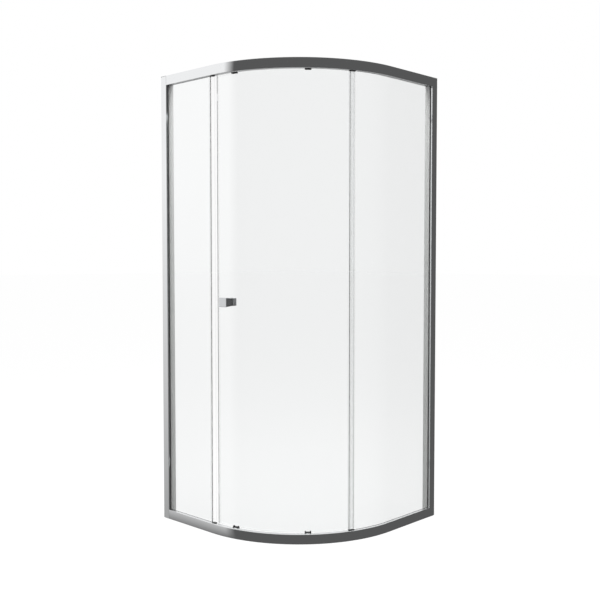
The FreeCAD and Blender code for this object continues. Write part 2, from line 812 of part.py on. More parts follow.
def make_trailing_seal():
    """Seal on the door's trailing edge, with a lip toward the fixed pane."""
    thin = S["seal_wall"]
    body = arc_body("door_trailing_seal", S["door_trailing_angle"])
    outer = radial(S["door_glass_depth"] - GAP)
    inner = radial(DOOR_INNER + GAP)
    reach = S["trailing_reach"]
    lip = radial(FIXED_INNER + 3)
    points = [
        (inner - thin, -S["trailing_grip"]),
        (inner, -S["trailing_grip"]),
        (inner, 0.05),
        (outer, 0.05),
        (outer, -S["trailing_grip"]),
        (outer + thin, -S["trailing_grip"]),
        (outer + thin, reach - thin),
        (lip, reach - thin),
        (lip, reach),
        (inner - thin, reach),
    ]
    pad(body, outline(body, "XY", [points], lift=DOOR_SEAL_LOW), DOOR_SEAL_HIGH - DOOR_SEAL_LOW)


def knob_block(label, start, end, start_size, end_size):
    """Square tapering knob with rounded corners between two depths, and its threaded hole."""
    body = arc_body(label, S["knob_angle"])
    ends = []
    for depth, width in ((start, start_size), (end, end_size)):
        half = width / 2
        corners = rectangle(-half, S["knob_level"] - half, half, S["knob_level"] + half, S["knob_corner"])
        ends.append(outline(body, "YZ", [corners], lift=radial(depth)))
    loft = feature(body, "AdditiveLoft", ends[0])
    loft.Sections = [ends[1]]
    loft.Ruled = True
    hole = new_sketch(body, "YZ", lift=radial(start))
    draw_circle(hole, 0, S["knob_level"], S["knob_bolt_radius"] + HOLE_GAP)
    drilled = cut(body, hole, 32)
    DOCUMENT.recompute()
    far_x = radial(end).value
    faces = [
        f"Face{index}"
        for index, face in enumerate(drilled.Shape.Faces, start=1)
        if abs(face.BoundBox.XMin - far_x) < 0.01 and abs(face.BoundBox.XMax - far_x) < 0.01
    ]
    soften = body.newObject("PartDesign::Chamfer", f"{label}_edge")
    soften.Base = (drilled, faces)
    bind(soften, "Size", S["edge_round"])


def make_knobs():
    outer_start = S["door_glass_depth"] - S["washer_thickness"]
    inner_start = DOOR_INNER + S["washer_thickness"] + 0.15
    root = S["knob_root"]
    knob_block("knob_outer", outer_start, outer_start - S["knob_reach"], root, S["knob_face"])
    knob_block("knob_inner", inner_start, inner_start + S["inner_knob_reach"], root, root - 1)
    middle = S["door_glass_depth"] + S["glass_thickness"] / 2
    bolt = arc_body("knob_bolt", S["knob_angle"])
    shank = new_sketch(bolt, "YZ", lift=radial(middle))
    draw_circle(shank, 0, S["knob_level"], S["knob_bolt_radius"])
    pad(bolt, shank, S["knob_bolt_length"], both=True)
    washers = arc_body("knob_washers", S["knob_angle"])
    for depth, sign in ((outer_start, -1), (inner_start, 1)):
        ring = new_sketch(washers, "YZ", lift=radial(depth))
        draw_circle(ring, 0, S["knob_level"], S["washer_radius"])
        draw_circle(ring, 0, S["knob_level"], S["knob_bolt_radius"] + GAP)
        pad(washers, ring, S["washer_thickness"], backward=sign < 0)
        sleeve = new_sketch(washers, "YZ", lift=radial(depth - S["washer_thickness"] * sign))
        draw_circle(sleeve, 0, S["knob_level"], S["knob_hole_radius"] - GAP)
        draw_circle(sleeve, 0, S["knob_level"], S["knob_bolt_radius"] + GAP)
        pad(washers, sleeve, 2.8, backward=sign < 0)


# ---------------------------------------------------------------- carriages, wheels and stops


def pane_level(top):
    """Edge of the door pane, from the floor or from the top."""
    return S["door_top_level"] if top else S["door_edge_level"]


def jaw_level(top):
    """Tip of the jaws over that edge."""
    return S["top_jaw_level"] if top else S["horn_level"]


def clamp_level(top):
    return (pane_level(top) + jaw_level(top)) / 2


def carriage_outline(top, end):
    """Jaw over the glass edge and the stem into the rail, in (radius, height)."""
    slot_floor = pane_level(top) - GAP
    tip = jaw_level(top)
    front = S["door_glass_depth"] - GAP
    back = DOOR_INNER + GAP
    points = [
        (JAW_FRONT, tip),
        (front, tip),
        (front, slot_floor),
        (back, slot_floor),
        (back, tip),
        (JAW_BACK, tip),
        (JAW_BACK, end),
        (JAW_FRONT + 1.2, end),
        (JAW_FRONT + 1.2, slot_floor - 5),
        (JAW_FRONT, slot_floor - 5),
    ]
    return [(radial(point[0]), level(point[1], top)) for point in points]


def cut_horns(body):
    """Lower the middle of a bottom jaw so that only its two ends stand up."""
    base = S["door_edge_level"] + 1
    corners = rectangle(radial(JAW_BACK + 1), base, radial(JAW_FRONT - 1), S["horn_level"] + 1)
    cut(body, outline(body, "XZ", [corners]), S["carriage_width"] - S["carriage_horn"] * 2)


def clamp_screw_places():
    """(angle, top, sideways) of every clamp screw."""
    sideways = (S["carriage_width"] - S["carriage_horn"]) / 2
    return [
        (angle, top, sideways * side)
        for angle in (S["leading_carriage_angle"], S["trailing_carriage_angle"])
        for top in (False, True)
        for side in (-1, 1)
    ]


def cut_clamp_holes(body, top):
    holes = new_sketch(body, "YZ", lift=radial(JAW_BACK))
    for side in (-1, 1):
        draw_circle(holes, (S["carriage_width"] - S["carriage_horn"]) / 2 * side, level(clamp_level(top), top),
                    S["clamp_screw_radius"] + HOLE_GAP)
    cut(body, holes, 8)


def make_clamp_screws():
    screws = []
    for angle, top, sideways in clamp_screw_places():
        start = FreeCAD.Vector(radial(JAW_BACK).value, sideways.value, level(clamp_level(top), top).value)
        screw = rod(start, FreeCAD.Vector(1, 0, 0), S["jaw_back_wall"], S["clamp_screw_radius"])
        screw.rotate(FreeCAD.Vector(0, 0, 0), FreeCAD.Vector(0, 0, 1), angle.value)
        screw.translate(FreeCAD.Vector(ARC_X.value, ARC_Y.value, 0))
        screws.append(screw)
    group("carriage_clamp_screws", screws)


def wheel_body(label, angle, height):
    """Body whose local X axis is a wheel's axle, pointing outward from the arc centre."""
    body = new_body(label)
    place(body, ARC_X, ARC_Y, height, angle)
    return body


def make_top_carriage(name, angle):
    body = arc_body(f"top_carriage_{name}", angle)
    pad(body, outline(body, "XZ", [carriage_outline(True, 12)]), S["carriage_width"], both=True)
    axle_level = HEIGHT - S["ledge_level"] + S["top_wheel_radius"] + GAP
    seat = new_sketch(body, "YZ", lift=radial(JAW_BACK))
    draw_circle(seat, 0, axle_level, S["top_axle_radius"] + HOLE_GAP)
    cut(body, seat, 16)
    cut_clamp_holes(body, True)
    wall_face = S["frame_depth"] - WALL
    head = wall_face - GAP - 0.9
    axle = wheel_body(f"top_axle_{name}", angle, axle_level)
    points = [
        (radial(JAW_BACK - 8), 0),
        (radial(JAW_BACK - 8), S["top_axle_radius"]),
        (radial(head), S["top_axle_radius"]),
        (radial(head), S["top_axle_radius"] + 2),
        (radial(wall_face - GAP), S["top_axle_radius"] + 2),
        (radial(wall_face - GAP), 0),
    ]
    spin(axle, outline(axle, "XZ", [points]))
    wheel = wheel_body(f"top_wheel_{name}", angle, axle_level)
    near = S["ledge_edge_depth"] + 1.6
    far = head - 0.1
    soft = S["edge_round"] * 0.5
    bore = S["top_axle_radius"] + HOLE_GAP
    points = [
        (radial(near), bore),
        (radial(near), S["top_wheel_radius"], soft),
        (radial(far), S["top_wheel_radius"], soft),
        (radial(far), bore),
    ]
    spin(wheel, outline(wheel, "XZ", [points]))


def make_bottom_carriage(name, angle):
    body = arc_body(f"bottom_carriage_{name}", angle)
    pad(body, outline(body, "XZ", [carriage_outline(False, 10)]), S["carriage_width"], both=True)
    cut_horns(body)
    corners = rectangle(radial(JAW_BACK + 1), 9, radial(SLIDER_FRONT - 0.2), S["slider_roof"])
    cut(body, outline(body, "XZ", [corners]), S["slider_width"] + GAP * 2)
    cut_clamp_holes(body, False)
    axle_level = S["track_level"] + S["bottom_wheel_radius"] + GAP
    make_slider(name, angle, axle_level)
    make_spring(name, angle)
    make_bottom_wheel(name, angle, axle_level)


def make_slider(name, angle, axle_level):
    """Spring-loaded slider with the finger tab that lifts the wheel off the track."""
    body = arc_body(f"bottom_slider_{name}", angle)
    near = SLIDER_FRONT
    far = SLIDER_BACK
    tab_end = S["frame_depth"] + 2
    top = S["slider_top"]
    points = [
        (near, S["slider_foot"]),
        (far, S["slider_foot"]),
        (far, top - 2.5),
        (tab_end, top - 2.5),
        (tab_end, top + 3),
        (tab_end - 1.5, top + 3),
        (tab_end - 1.5, top),
        (near, top),
    ]
    points = [(radial(point[0]), point[1]) for point in points]
    pad(body, outline(body, "XZ", [points]), S["slider_width"], both=True)
    bore = new_sketch(body, "YZ", lift=radial(near + 2.5))
    draw_circle(bore, 0, axle_level, S["bottom_axle_radius"] + HOLE_GAP)
    cut(body, bore, 8)


def make_spring(name, angle):
    body = new_body(f"bottom_spring_{name}")
    middle = radial((SLIDER_FRONT + SLIDER_BACK) / 2)
    low = S["slider_top"] + S["spring_wire"]
    tall = S["slider_roof"] - S["slider_top"] - S["spring_wire"] * 2
    x = f"{ARC_X.text} + {middle.text} * cos({angle.text})"
    y = f"{ARC_Y.text} + {middle.text} * sin({angle.text})"
    turn = f"rotation(vector(0; 0; 1); {angle.text})"
    body.setExpression("Placement", f"placement(vector({x}; {y}; {low.text}); {turn})")
    wire = new_sketch(body, "XZ")
    draw_circle(wire, S["spring_radius"], 0, S["spring_wire"])
    coil = feature(body, "AdditiveHelix", wire)
    coil.ReferenceAxis = (wire, ["V_Axis"])
    coil.Mode = "height-turns-angle"
    bind(coil, "Height", tall)
    bind(coil, "Turns", S["spring_turns"])


def make_bottom_wheel(name, angle, axle_level):
    """Grooved wheel that runs on the upstanding track, and its axle."""
    half_groove = S["track_width"] / 2 + GAP
    near = JAW_BACK + 0.3
    far = S["track_depth"] + (S["track_depth"] - near)
    bore = S["bottom_axle_radius"] + HOLE_GAP
    rim = S["bottom_wheel_rim"]
    run = S["bottom_wheel_radius"]
    wheel = wheel_body(f"bottom_wheel_{name}", angle, axle_level)
    points = [
        (radial(near), bore),
        (radial(near), rim, 0.4),
        (radial(S["track_depth"] - half_groove), rim),
        (radial(S["track_depth"] - half_groove), run),
        (radial(S["track_depth"] + half_groove), run),
        (radial(S["track_depth"] + half_groove), rim),
        (radial(far), rim, 0.4),
        (radial(far), bore),
    ]
    spin(wheel, outline(wheel, "XZ", [points]))
    axle = wheel_body(f"bottom_axle_{name}", angle, axle_level)
    start = SLIDER_FRONT
    points = [
        (radial(start), 0),
        (radial(start), S["bottom_axle_radius"]),
        (radial(far + 0.1), S["bottom_axle_radius"]),
        (radial(far + 0.1), S["bottom_axle_radius"] + 1.5),
        (radial(far + 0.9), S["bottom_axle_radius"] + 1.5),
        (radial(far + 0.9), 0),
    ]
    spin(axle, outline(axle, "XZ", [points]))


def make_stops():
    """Rubber stops under the ceiling of the top rail, one at each end of the door's travel."""
    reach = S["carriage_width"] / 2 + GAP
    open_angle = S["trailing_carriage_angle"] + S["door_travel_angle"]
    ends = [
        ("door_stop_closed", S["leading_carriage_angle"], -reach - S["stop_length"], -reach),
        ("door_stop_open", open_angle, reach, reach + S["stop_length"]),
    ]
    for label, angle, low_y, high_y in ends:
        body = arc_body(label, angle)
        corners = rectangle(radial(JAW_BACK - 0.4), low_y, radial(JAW_FRONT + 1.2), high_y)
        base = HEIGHT - S["rail_flange"] - S["stop_height"]
        pad(body, outline(body, "XY", [corners], lift=base), S["stop_height"])


# ---------------------------------------------------------------- whole enclosure


def build():
    for side in ("left", "right"):
        make_wall_channel(side)
        make_upright(side)
        make_glazing_bead(side)
        make_glazing_gasket(side)
        make_upright_cap(side)
        make_channel_screws(side)
    make_corner_fixings()
    make_rail("bottom_rail", False)
    make_rail("top_rail", True)
    make_left_pane()
    make_right_pane()
    make_strike_seal()
    make_edge_seal()
    make_panel_clips()
    make_stops()
    make_door_glass()
    make_magnetic_seal()
    make_trailing_seal()
    make_knobs()
    for name in ("leading", "trailing"):
        angle = S[f"{name}_carriage_angle"]
        make_top_carriage(name, angle)
        make_bottom_carriage(name, angle)
    make_clamp_screws()


def write_parts():
    """Check every object and write one STEP file for each sub-part."""
    DOCUMENT.recompute()
    for thing in DOCUMENT.Objects:
        if "Invalid" in thing.State or "Error" in thing.State:
            raise RuntimeError(f"{thing.Name} does not build: {thing.State}")
    os.makedirs("parts", exist_ok=True)
    for node in NODES:
        if node.Shape.isNull() or not node.Shape.isValid() or node.Shape.Volume <= 0:
            raise RuntimeError(f"{node.Label} has no valid shape")
        node.Shape.exportStep(f"parts/{node.Label}.step")


build()
write_parts()
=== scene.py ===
import math

import bmesh
import bpy
from bpy.props import FloatProperty, FloatVectorProperty, PointerProperty
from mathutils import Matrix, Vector

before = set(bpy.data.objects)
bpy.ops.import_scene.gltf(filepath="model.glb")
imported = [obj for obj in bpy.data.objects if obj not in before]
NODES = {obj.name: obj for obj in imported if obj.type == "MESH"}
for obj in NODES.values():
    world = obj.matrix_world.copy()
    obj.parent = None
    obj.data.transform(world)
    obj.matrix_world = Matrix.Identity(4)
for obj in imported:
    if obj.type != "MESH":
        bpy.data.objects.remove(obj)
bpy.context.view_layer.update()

bl_info = {
    "name": "Quadrant Shower Enclosure",
    "version": (1, 0, 0),
    "blender": (4, 5, 0),
    "location": "View3D > Sidebar > Enclosure",
    "description": "Finishes and studio stage of a quadrant shower enclosure",
    "category": "Material",
}

SIDES = ("left", "right")
ENDS = ("leading", "trailing")
# most values of a noise texture lie between these
NOISE_LOW = 0.3
NOISE_HIGH = 0.7
# places of a Mix node's colour sockets, whose names repeat
MIX_FACTOR = 0
MIX_A = 6
MIX_B = 7
MIX_RESULT = 2


# ---------------------------------------------------------------- colour and node helpers


def linear(hex_colour):
    """sRGB hex such as "#E4E5E6" to linear RGBA."""
    channels = []
    for start in (1, 3, 5):
        value = int(hex_colour[start:start + 2], 16) / 255
        channels.append(value / 12.92 if value <= 0.04045 else ((value + 0.055) / 1.055) ** 2.4)
    return (*channels, 1.0)


WHITE = linear("#FFFFFF")


def add_node(tree, kind, settings=None, links=None):
    """Add one node; settings fill its sockets or properties, links join its sockets to outputs.

    A whole number in settings or links is a socket's place in the node.
    """
    node = tree.nodes.new(kind)
    for name, value in (settings or {}).items():
        if isinstance(name, int) or name in node.inputs:
            node.inputs[name].default_value = value
        else:
            setattr(node, name, value)
    for name, output in (links or {}).items():
        tree.links.new(output, node.inputs[name])
    return node


def new_material(name, **values):
    """Node material whose Principled shader has these values, with its tree and both nodes."""
    material = bpy.data.materials.new(name)
    material.use_nodes = True
    tree = material.node_tree
    tree.nodes.clear()
    shader = add_node(tree, "ShaderNodeBsdfPrincipled")
    for socket, value in values.items():
        shader.inputs[socket.replace("_", " ")].default_value = value
    output = add_node(tree, "ShaderNodeOutputMaterial", links={"Surface": shader.outputs[0]})
    return material, tree, shader, output


def grain(tree, steps, detail=2.0):
    """Noise on object coordinates; steps are the pattern's sizes along X, Y and Z in millimetres."""
    place = add_node(tree, "ShaderNodeTexCoord")
    scale = tuple(1000 / step for step in steps)
    mapping = add_node(tree, "ShaderNodeMapping", {"Scale": scale}, {"Vector": place.outputs["Object"]})
    settings = {"Scale": 1.0, "Detail": detail, "Roughness": 0.5}
    return add_node(tree, "ShaderNodeTexNoise", settings, {"Vector": mapping.outputs[0]}).outputs[0]


def roughness_from(tree, pattern, gloss):
    """Roughness that follows the pattern between the two values of gloss."""
    settings = {"From Min": NOISE_LOW, "From Max": NOISE_HIGH, "To Min": gloss[0], "To Max": gloss[1]}
    return add_node(tree, "ShaderNodeMapRange", settings, {"Value": pattern}).outputs[0]


def uneven(tree, shader, pattern, relief, gloss=None):
    """Raise the surface by the pattern, relief metres high, and vary its roughness within gloss."""
    bump = add_node(tree, "ShaderNodeBump", {"Distance": relief}, {"Height": pattern})
    tree.links.new(bump.outputs[0], shader.inputs["Normal"])
    if gloss:
        tree.links.new(roughness_from(tree, pattern, gloss), shader.inputs["Roughness"])


def assign(material, *names):
    """Give whole CAD nodes this material."""
    for name in names:
        mesh = NODES[name].data
        if mesh.materials:
            for index in range(len(mesh.materials)):
                mesh.materials[index] = material
        else:
            mesh.materials.append(material)


# ---------------------------------------------------------------- finishes


def polished_profile(name, colour, die_lines):
    """Aluminium extrusion, polished and clear anodised: near-mirror with faint lengthwise lines."""
    material, tree, shader, _ = new_material(name, Base_Color=colour, Metallic=1.0)
    # die lines are 0.1 mm apart on the real profile; drawn 1.2 mm apart so that they show
    uneven(tree, shader, grain(tree, die_lines, 3.0), 0.000004)
    # soft patches of polish, some 60 mm across
    polish = roughness_from(tree, grain(tree, (60, 60, 60)), (0.05, 0.08))
    tree.links.new(polish, shader.inputs["Roughness"])
    return material, tree, shader


def polished_rail(name, colour, crown, bulge):
    """The same extrusion bent to a rail, with a tall face that mirrors as if it were crowned.

    Its reflection drifts from the top edge to the lower one. Crown is the height of the face's
    middle; the bow grows with the square of the distance from it, to bulge metres at one metre.
    """
    material, tree, shader = polished_profile(name, colour, (3300, 3300, 1.2))
    place = add_node(tree, "ShaderNodeTexCoord")
    height = add_node(tree, "ShaderNodeSeparateXYZ", links={0: place.outputs["Object"]}).outputs["Z"]
    settings = {"operation": "SUBTRACT", 1: crown}
    offset = add_node(tree, "ShaderNodeMath", settings, {0: height}).outputs[0]
    links = {0: offset, 1: offset}
    square = add_node(tree, "ShaderNodeMath", {"operation": "MULTIPLY"}, links).outputs[0]
    curve = add_node(tree, "ShaderNodeBump", {"invert": True, "Distance": bulge}, {"Height": square})
    lines = shader.inputs["Normal"].links[0].from_node
    tree.links.new(curve.outputs[0], lines.inputs["Normal"])
    rougher_flats(tree, shader)
    return material


def rougher_flats(tree, shader):
    """Leave the skin of the die on faces that look up or down: roughness up by 0.2."""
    polish = shader.inputs["Roughness"].links[0].from_socket
    facing = add_node(tree, "ShaderNodeNewGeometry").outputs["True Normal"]
    upward = add_node(tree, "ShaderNodeSeparateXYZ", links={0: facing}).outputs["Z"]
    flat = add_node(tree, "ShaderNodeMath", {"operation": "ABSOLUTE"}, {0: upward}).outputs[0]
    settings = {"From Min": 0.6, "From Max": 0.9, "To Min": 0.0, "To Max": 0.2}
    dull = add_node(tree, "ShaderNodeMapRange", settings, {"Value": flat}).outputs[0]
    rough = add_node(tree, "ShaderNodeMath", {"operation": "ADD"}, {0: polish, 1: dull})
    tree.links.new(rough.outputs[0], shader.inputs["Roughness"])


def drawn_aluminium(name, colour, metallic):
    """Anodised satin aluminium: soft grey with fine lines along the profile.

    Its matt skin hides most of the mirror, so it is drawn as only partly metallic.
    """
    material, tree, shader, _ = new_material(name, Base_Color=colour, Metallic=metallic)
    # drawing lines are under 0.1 mm apart; drawn 1.1 mm apart so that they show
    uneven(tree, shader, grain(tree, (1.1, 1.1, 500), 4.0), 0.00001, gloss=(0.36, 0.5))
    return material


def toughened_glass(name):
    """Clear float glass, toughened: plain to look through, with a very faint roller wave."""
    material, tree, shader, output = new_material(
        name, Base_Color=linear("#F8F9F9"), Roughness=0.0, IOR=1.52, Transmission_Weight=1.0
    )
    # roller waves are some 250 mm apart and micrometres high: reflections drift, the view doesn't
    uneven(tree, shader, grain(tree, (500, 500, 250), 0.0), 0.00002)
    # lamp light passes straight through instead of leaving a solid shadow
    clear = add_node(tree, "ShaderNodeBsdfTransparent", {"Color": linear("#F6F8F7")})
    path = add_node(tree, "ShaderNodeLightPath")
    links = {0: path.outputs["Is Shadow Ray"], 1: shader.outputs[0], 2: clear.outputs[0]}
    mixed = add_node(tree, "ShaderNodeMixShader", links=links)
    tree.links.new(mixed.outputs[0], output.inputs["Surface"])
    return material


def clear_pvc(name):
    """Extruded soft PVC seal: clear, a little duller with every wall the eye passes, with draw lines."""
    material, tree, shader, output = new_material(name, Base_Color=linear("#F0F1F1"), IOR=1.5)
    # draw lines are some 0.2 mm apart; drawn 1.1 mm apart so that they show
    uneven(tree, shader, grain(tree, (1.1, 1.1, 2000)), 0.000005, gloss=(0.16, 0.3))
    clear = add_node(tree, "ShaderNodeBsdfTransparent", {"Color": linear("#FDFDFD")})
    haze = 0.02
    mixed = add_node(tree, "ShaderNodeMixShader", {0: haze}, {1: clear.outputs[0], 2: shader.outputs[0]})
    tree.links.new(mixed.outputs[0], output.inputs["Surface"])
    return material


def moulded_plastic(name, colour, grain_mm, gloss):
    """Injection-moulded plastic with a spark-eroded grain and slightly uneven gloss."""
    material, tree, shader, _ = new_material(name, Base_Color=colour, IOR=1.48)
    uneven(tree, shader, grain(tree, (grain_mm, grain_mm, grain_mm)), 0.00003, gloss=gloss)
    return material


def soft_rubber(name, colour):
    """Extruded or moulded rubber: dull and very dark, with a faint grey bloom in patches."""
    material, tree, shader, _ = new_material(name, Roughness=0.62, IOR=1.52)
    # bloom lies in patches some 8 mm wide, drawn out along the profile
    bloom = grain(tree, (8, 8, 900))
    settings = {"data_type": "RGBA", MIX_A: colour, MIX_B: linear("#4A4B4C")}
    shades = add_node(tree, "ShaderNodeMix", settings, {MIX_FACTOR: bloom}).outputs[MIX_RESULT]
    tree.links.new(shades, shader.inputs["Base Color"])
    uneven(tree, shader, bloom, 0.00003)
    return material


def chrome_plate(name, gloss):
    """Chrome over a zinc casting: a mirror when the casting is polished, softer when it is satin."""
    material, tree, shader, _ = new_material(name, Base_Color=linear("#E2E4E6"), Metallic=1.0)
    # the casting's waviness, some 11 mm from crest to crest
    uneven(tree, shader, grain(tree, (11, 11, 11), 1.0), 0.00001, gloss)
    return material


def stainless_steel(name, step_mm):
    """Stainless steel, turned or drawn: fine rings and a soft gleam."""
    material, tree, shader, _ = new_material(name, Base_Color=linear("#C4C5C6"), Metallic=1.0)
    # tool marks are 0.1 mm apart; drawn coarser so that they show
    uneven(tree, shader, grain(tree, (step_mm, step_mm, step_mm), 3.0), 0.00001, gloss=(0.2, 0.34))
    return material


# ---------------------------------------------------------------- settings


class EnclosureSettings(bpy.types.PropertyGroup):
    """Colours of the enclosure and the studio it stands in"""

    profile_colour: FloatVectorProperty(
        name="Profile colour", description="Polished uprights and rails",
        default=linear("#EDEEEF"), size=4, min=0.0, max=1.0, subtype="COLOR",
    )
    fitting_colour: FloatVectorProperty(
        name="Fitting colour", description="Carriages and panel clips",
        default=linear("#2B2C2D"), size=4, min=0.0, max=1.0, subtype="COLOR",
    )
    rubber_colour: FloatVectorProperty(
        name="Rubber colour", description="Gaskets and door stops",
        default=linear("#2E2E2F"), size=4, min=0.0, max=1.0, subtype="COLOR",
    )
    lamp_power: FloatProperty(
        name="Lamp power", description="Strength of the key lamp", default=60.0, min=0.0, unit="POWER",
    )
    lens: FloatProperty(
        name="Lens", description="Focal length of the camera", default=51.66, min=1.0, unit="CAMERA",
    )
    camera_place: FloatVectorProperty(
        name="Camera place", description="Where the camera stands",
        default=(2.702, -2.841, 1.18), subtype="TRANSLATION", unit="LENGTH",
    )
    camera_turn: FloatProperty(
        name="Camera turn", description="Turn of the camera about the vertical",
        default=math.radians(43.545), subtype="ANGLE",
    )
    camera_tilt: FloatProperty(
        name="Camera tilt", description="Tilt of the camera below the horizon",
        default=math.radians(2.668), subtype="ANGLE",
    )


def chosen():
    return bpy.context.scene.enclosure


# ---------------------------------------------------------------- operators


class ProfileFinish(bpy.types.Operator):
    """Finish the uprights, wall channels and rails"""

    bl_idname = "enclosure.profile_finish"
    bl_label = "Profiles"

    def execute(self, context):
        colour = chosen().profile_colour
        upright, _, _ = polished_profile("polished_aluminium_upright", colour, (1.2, 1.2, 3300))
        for side in SIDES:
            assign(upright, f"upright_{side}", f"wall_channel_{side}")
        for rail, crown, bulge in (("bottom_rail", 0.021, 2.0), ("top_rail", 1.979, 0.7)):
            assign(polished_rail(f"polished_aluminium_{rail}", colour, crown, bulge), rail)
        return {"FINISHED"}


class GlazingFinish(bpy.types.Operator):
    """Finish the glazing beads, gaskets, caps and screw covers of the uprights"""

    bl_idname = "enclosure.glazing_finish"
    bl_label = "Glazing beads and caps"

    def execute(self, context):
        bead = drawn_aluminium("satin_anodised_bead", linear("#DADAD9"), 0.3)
        rubber = soft_rubber("extruded_epdm_rubber", chosen().rubber_colour)
        cap = moulded_plastic("moulded_grey_abs", linear("#9C9D9E"), 1.2, (0.35, 0.5))
        for side in SIDES:
            assign(bead, f"glazing_bead_{side}")
            assign(rubber, f"glazing_gasket_{side}")
            assign(cap, f"upright_cap_{side}", f"screw_covers_{side}")
        return {"FINISHED"}


class PaneFinish(bpy.types.Operator):
    """Finish the two fixed panes and the door pane"""

    bl_idname = "enclosure.pane_finish"
    bl_label = "Glass panes"

    def execute(self, context):
        glass = toughened_glass("toughened_float_glass")
        assign(glass, "fixed_glass_left", "fixed_glass_right", "door_glass")
        return {"FINISHED"}


class SealFinish(bpy.types.Operator):
    """Finish the clear seals and the panel clips"""

    bl_idname = "enclosure.seal_finish"
    bl_label = "Seals and clips"

    def execute(self, context):
        seals = ("strike_seal", "edge_seal", "door_magnetic_seal", "door_trailing_seal")
        assign(clear_pvc("extruded_clear_pvc"), *seals)
        clip = moulded_plastic("moulded_dark_acetal_clip", chosen().fitting_colour, 0.8, (0.3, 0.45))
        assign(clip, *(name for name in NODES if name.startswith("panel_clip")))
        return {"FINISHED"}


class KnobFinish(bpy.types.Operator):
    """Finish the knobs, their stud and washers"""

    bl_idname = "enclosure.knob_finish"
    bl_label = "Knobs"

    def execute(self, context):
        assign(chrome_plate("bright_chrome_plate", (0.03, 0.07)), "knob_outer")
        assign(chrome_plate("satin_chrome_plate", (0.3, 0.4)), "knob_inner")
        assign(stainless_steel("stainless_steel_stud", 0.4), "knob_bolt")
        assign(moulded_plastic("moulded_clear_eva", linear("#D5D7D7"), 0.8, (0.3, 0.4)), "knob_washers")
        return {"FINISHED"}


class CarriageFinish(bpy.types.Operator):
    """Finish the carriages, sliders, springs, axles and wheels"""

    bl_idname = "enclosure.carriage_finish"
    bl_label = "Carriages and wheels"

    def execute(self, context):
        dark = moulded_plastic("moulded_dark_acetal", chosen().fitting_colour, 0.8, (0.3, 0.45))
        grey = moulded_plastic("moulded_grey_acetal", linear("#8D8F90"), 0.8, (0.3, 0.45))
        nylon = moulded_plastic("turned_white_nylon", linear("#E6E6E1"), 0.6, (0.3, 0.42))
        steel = stainless_steel("stainless_steel_pin", 0.4)
        for end in ENDS:
            assign(dark, f"top_carriage_{end}", f"bottom_carriage_{end}")
            assign(grey, f"bottom_slider_{end}")
            assign(nylon, f"top_wheel_{end}", f"bottom_wheel_{end}")
            assign(steel, f"top_axle_{end}", f"bottom_axle_{end}", f"bottom_spring_{end}")
        return {"FINISHED"}


class FixingFinish(bpy.types.Operator):
    """Finish the screws, corner blocks and door stops"""

    bl_idname = "enclosure.fixing_finish"
    bl_label = "Fixings and stops"

    def execute(self, context):
        steel = stainless_steel("stainless_steel_screw", 0.4)
        block = moulded_plastic("moulded_dark_nylon", linear("#3A3B3C"), 1.2, (0.45, 0.6))
        rubber = soft_rubber("moulded_black_rubber", chosen().rubber_colour)
        for side in SIDES:
            assign(steel, f"channel_screws_{side}")
        assign(steel, "corner_screws", "carriage_clamp_screws")
        assign(block, "corner_blocks")
        assign(rubber, "door_stop_closed", "door_stop_open")
        return {"FINISHED"}


class StudioStage(bpy.types.Operator):
    """Make the floor, the soft lamps, the surroundings and the camera"""

    bl_idname = "enclosure.studio_stage"
    bl_label = "Studio stage"

    def execute(self, context):
        make_floor()
        make_lamps()
        make_wall()
        make_surroundings()
        make_camera()
        return {"FINISHED"}


def stage_piece(name, form):
    """Object of the stage, at the origin, from a bmesh that is then freed."""
    mesh = bpy.data.meshes.new(name)
    form.to_mesh(mesh)
    form.free()
    piece = bpy.data.objects.new(name, mesh)
    bpy.context.scene.collection.objects.link(piece)
    return piece


def seen_white(tree, path):
    """1 on ways that show the white background: to the eye, through glass and in mirrors."""
    links = {0: path.outputs["Is Camera Ray"], 1: path.outputs["Is Transmission Ray"]}
    seen = add_node(tree, "ShaderNodeMath", {"operation": "MAXIMUM"}, links).outputs[0]
    links = {0: seen, 1: path.outputs["Is Glossy Ray"]}
    return add_node(tree, "ShaderNodeMath", {"operation": "MAXIMUM"}, links).outputs[0]


def mirrored_already(tree, path):
    """1 on a way that a mirror has turned, such as to the studio wall and on through a pane."""
    links = {0: path.outputs["Glossy Depth"]}
    return add_node(tree, "ShaderNodeMath", {"operation": "GREATER_THAN", 1: 0.5}, links).outputs[0]


def make_floor():
    """Wide pale floor: white to the eye and through glass, with the object's soft shadow on it."""
    half_width = 60
    # clear of the rail's underside, so that the two faces don't flicker
    drop = 0.0005
    form = bmesh.new()
    bmesh.ops.create_grid(form, x_segments=1, y_segments=1, size=half_width)
    bmesh.ops.translate(form, verts=form.verts, vec=(0, 0, -drop))
    floor = stage_piece("floor", form)
    material, tree, shader, output = new_material(
        "matt_studio_floor", Base_Color=WHITE, Roughness=0.9, Specular_IOR_Level=0.0
    )
    uneven(tree, shader, grain(tree, (25, 25, 25)), 0.0001)
    path = add_node(tree, "ShaderNodeLightPath")
    white_share = 0.8
    settings = {"operation": "MULTIPLY", 1: white_share}
    share = add_node(tree, "ShaderNodeMath", settings, {0: seen_white(tree, path)}).outputs[0]
    # the lit fifth is a little under white, and the strength makes up for it
    white = add_node(tree, "ShaderNodeEmission", {"Color": WHITE, "Strength": 1.05})
    links = {0: share, 1: shader.outputs[0], 2: white.outputs[0]}
    bright = add_node(tree, "ShaderNodeMixShader", links=links)
    # mirrors look past the floor at the studio wall, which reaches below it
    clear = add_node(tree, "ShaderNodeBsdfTransparent")
    links = {0: mirrored_already(tree, path), 1: bright.outputs[0], 2: clear.outputs[0]}
    mixed = add_node(tree, "ShaderNodeMixShader", links=links)
    tree.links.new(mixed.outputs[0], output.inputs["Surface"])
    floor.data.materials.append(material)


